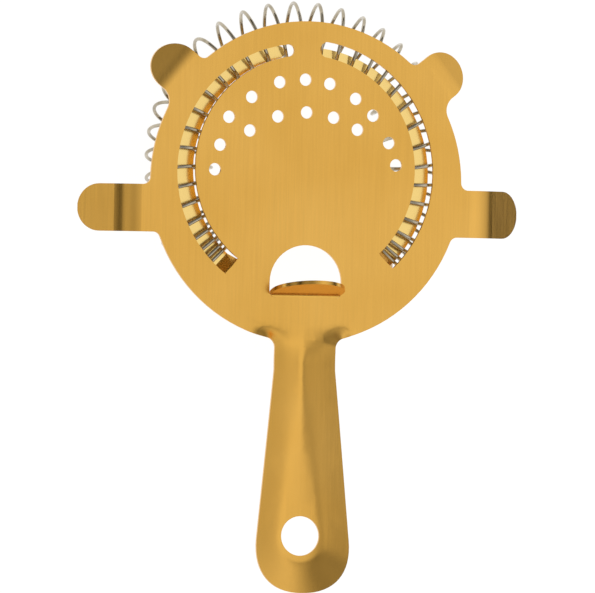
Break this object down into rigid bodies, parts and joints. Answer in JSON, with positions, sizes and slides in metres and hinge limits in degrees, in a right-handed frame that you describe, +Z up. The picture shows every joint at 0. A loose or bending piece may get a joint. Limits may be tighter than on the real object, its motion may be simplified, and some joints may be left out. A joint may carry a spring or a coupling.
{
  "type": "hawthorne strainer",
  "caption": "Round sheet-steel cocktail strainer with a trough handle, ears, bent prongs, finger tab and a coil spring threaded on tongues.",
  "frame": {"origin": "centre of the round plate, on its underside, the face that rests on a glass's rim", "axes": "+Y towards the front, away from the handle; +Z up, out of the glass; +X to the right seen from above"},
  "size_m": [0.1212, 0.1576, 0.032],
  "materials": {
    "gold_steel": "satin gold-coloured coating on stainless steel",
    "spring_steel": "bright drawn stainless spring wire"
  },
  "bodies": {
    "plate": {"strainer_plate": "gold_steel"},
    "spring_front": {"spring_front_run": "spring_steel"},
    "spring_left": {"spring_left_run": "spring_steel"},
    "spring_right": {"spring_right_run": "spring_steel"}
  },
  "joints": [
    {"name": "spring_front_squeeze", "type": "slide", "parent": "plate", "child": "spring_front", "axis": [0, -1, 0], "range_m": [0, 0.003], "stiffness_N_per_m": 700},
    {"name": "spring_left_squeeze", "type": "slide", "parent": "spring_front", "child": "spring_left", "axis": [0.2774, 0.9608, 0], "range_m": [0, 0.00375]},
    {"name": "spring_right_squeeze", "type": "slide", "parent": "spring_front", "child": "spring_right", "axis": [-0.2774, 0.9608, 0], "range_m": [0, 0.00375]}
  ],
  "couplings": [
    {"joint": "spring_left_squeeze", "follows": "spring_front_squeeze", "ratio": 1.249},
    {"joint": "spring_right_squeeze", "follows": "spring_front_squeeze", "ratio": 1.249}
  ]
}
